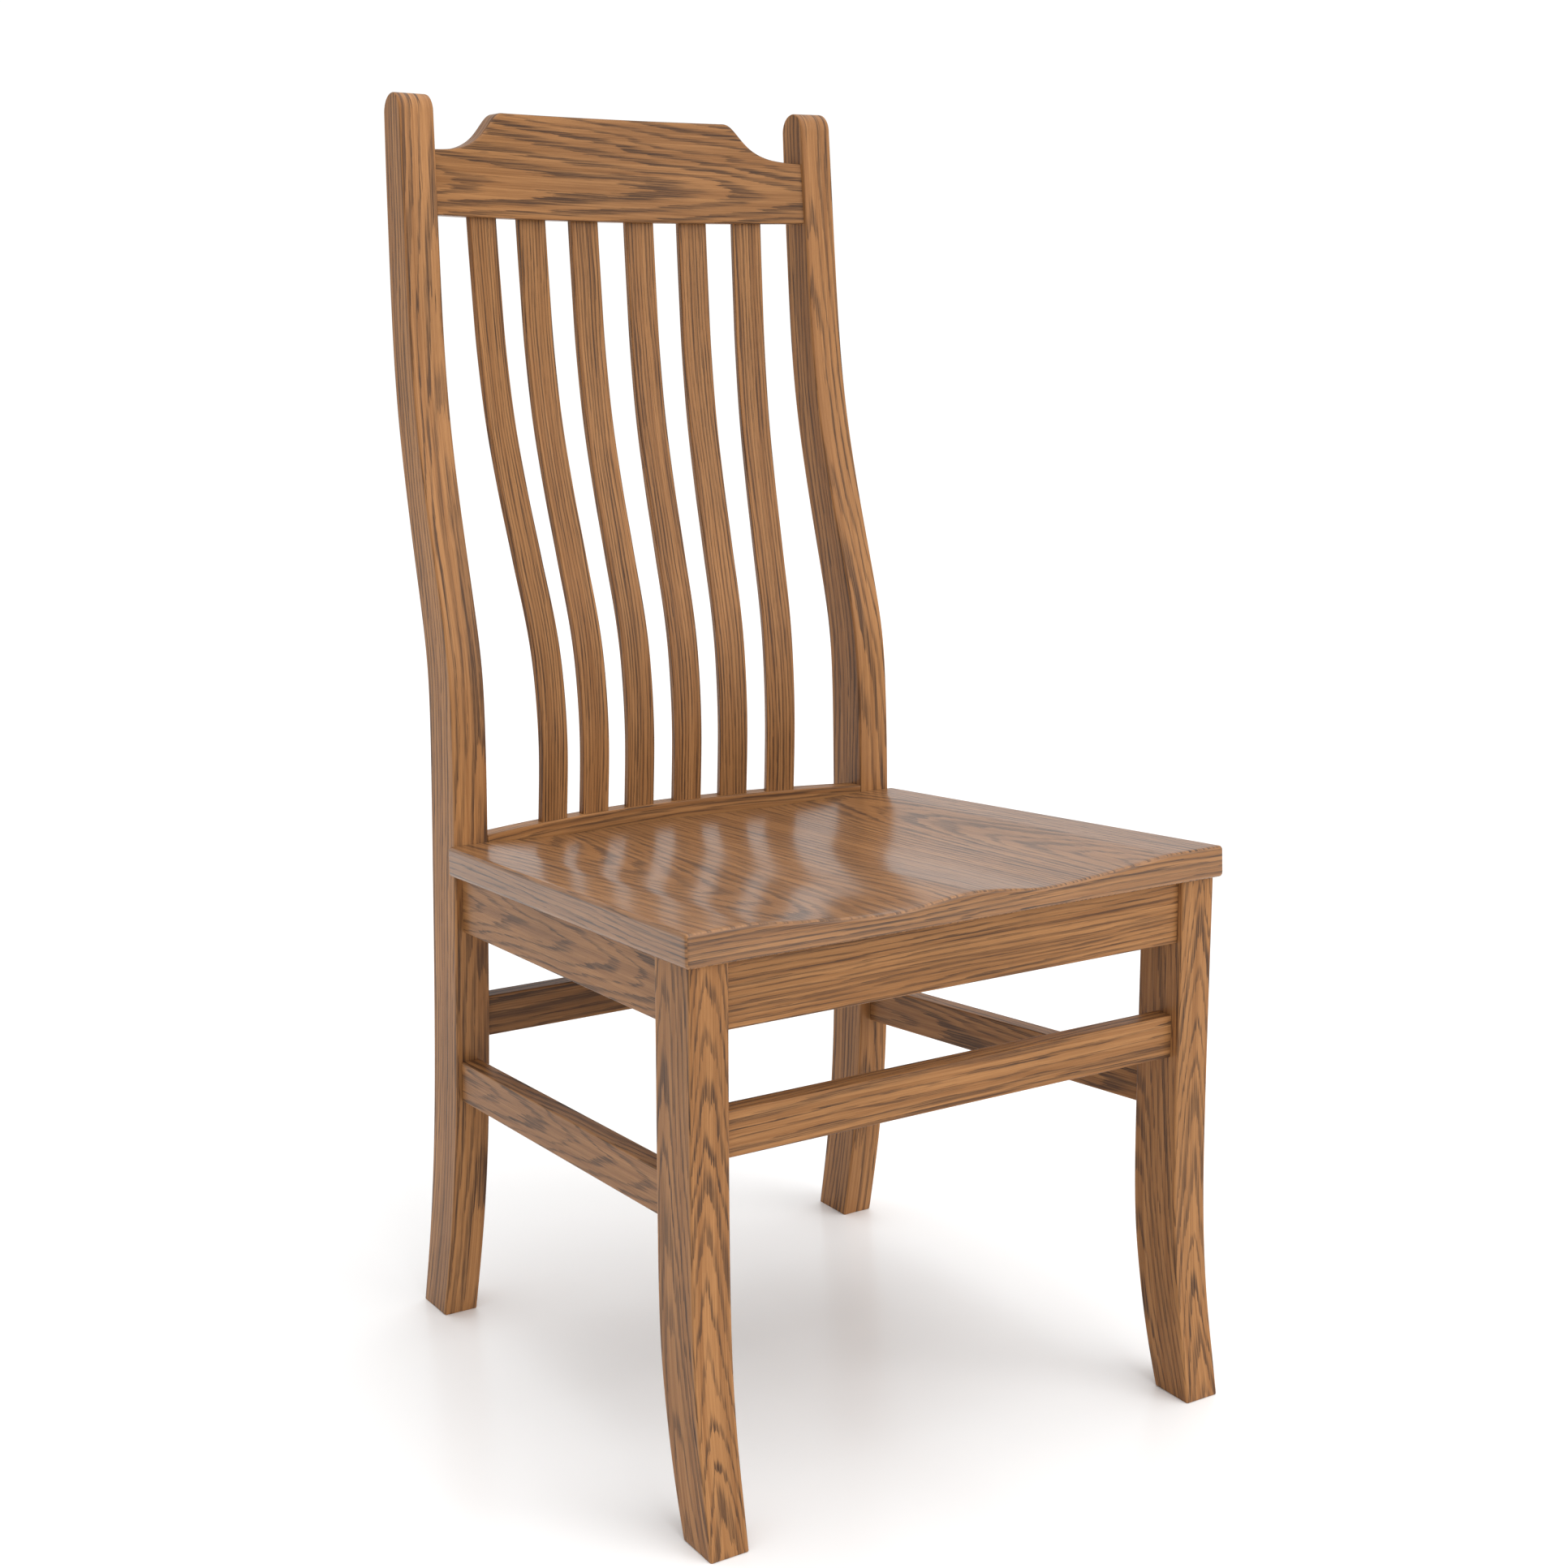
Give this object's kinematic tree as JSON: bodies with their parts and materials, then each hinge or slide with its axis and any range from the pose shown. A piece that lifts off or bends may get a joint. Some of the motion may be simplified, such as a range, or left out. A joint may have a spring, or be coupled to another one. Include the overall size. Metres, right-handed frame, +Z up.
{
  "type": "dining chair",
  "caption": "Solid oak side chair: S-curved rear posts, curved slats under a raised crest rail, scooped seat, sabre front legs, aprons and stretchers.",
  "frame": {"origin": "on the floor, under the middle of the chair's overall width and depth", "axes": "+Z up, the chair faces -Y, +X to the viewer's right when looking at the front"},
  "size_m": [0.493, 0.5847, 1.0521],
  "materials": {
    "oak": "semi-gloss lacquer over brown stain",
    "screw_steel": "bright"
  },
  "bodies": {
    "root": {"rear_post_left": "oak", "rear_post_right": "oak", "front_leg_left": "oak", "front_leg_right": "oak", "side_apron_left": "oak", "side_apron_right": "oak", "side_stretcher_left": "oak", "side_stretcher_right": "oak", "corner_block_front_left": "oak", "corner_block_front_right": "oak", "corner_block_rear_left": "oak", "corner_block_rear_right": "oak", "front_apron": "oak", "rear_apron": "oak", "front_stretcher": "oak", "rear_stretcher": "oak", "back_slat_1": "oak", "back_slat_2": "oak", "back_slat_3": "oak", "back_slat_4": "oak", "back_slat_5": "oak", "back_slat_6": "oak", "lower_back_rail": "oak", "crest_rail": "oak", "seat": "oak", "seat_screws": "screw_steel"}
  },
  "joints": []
}
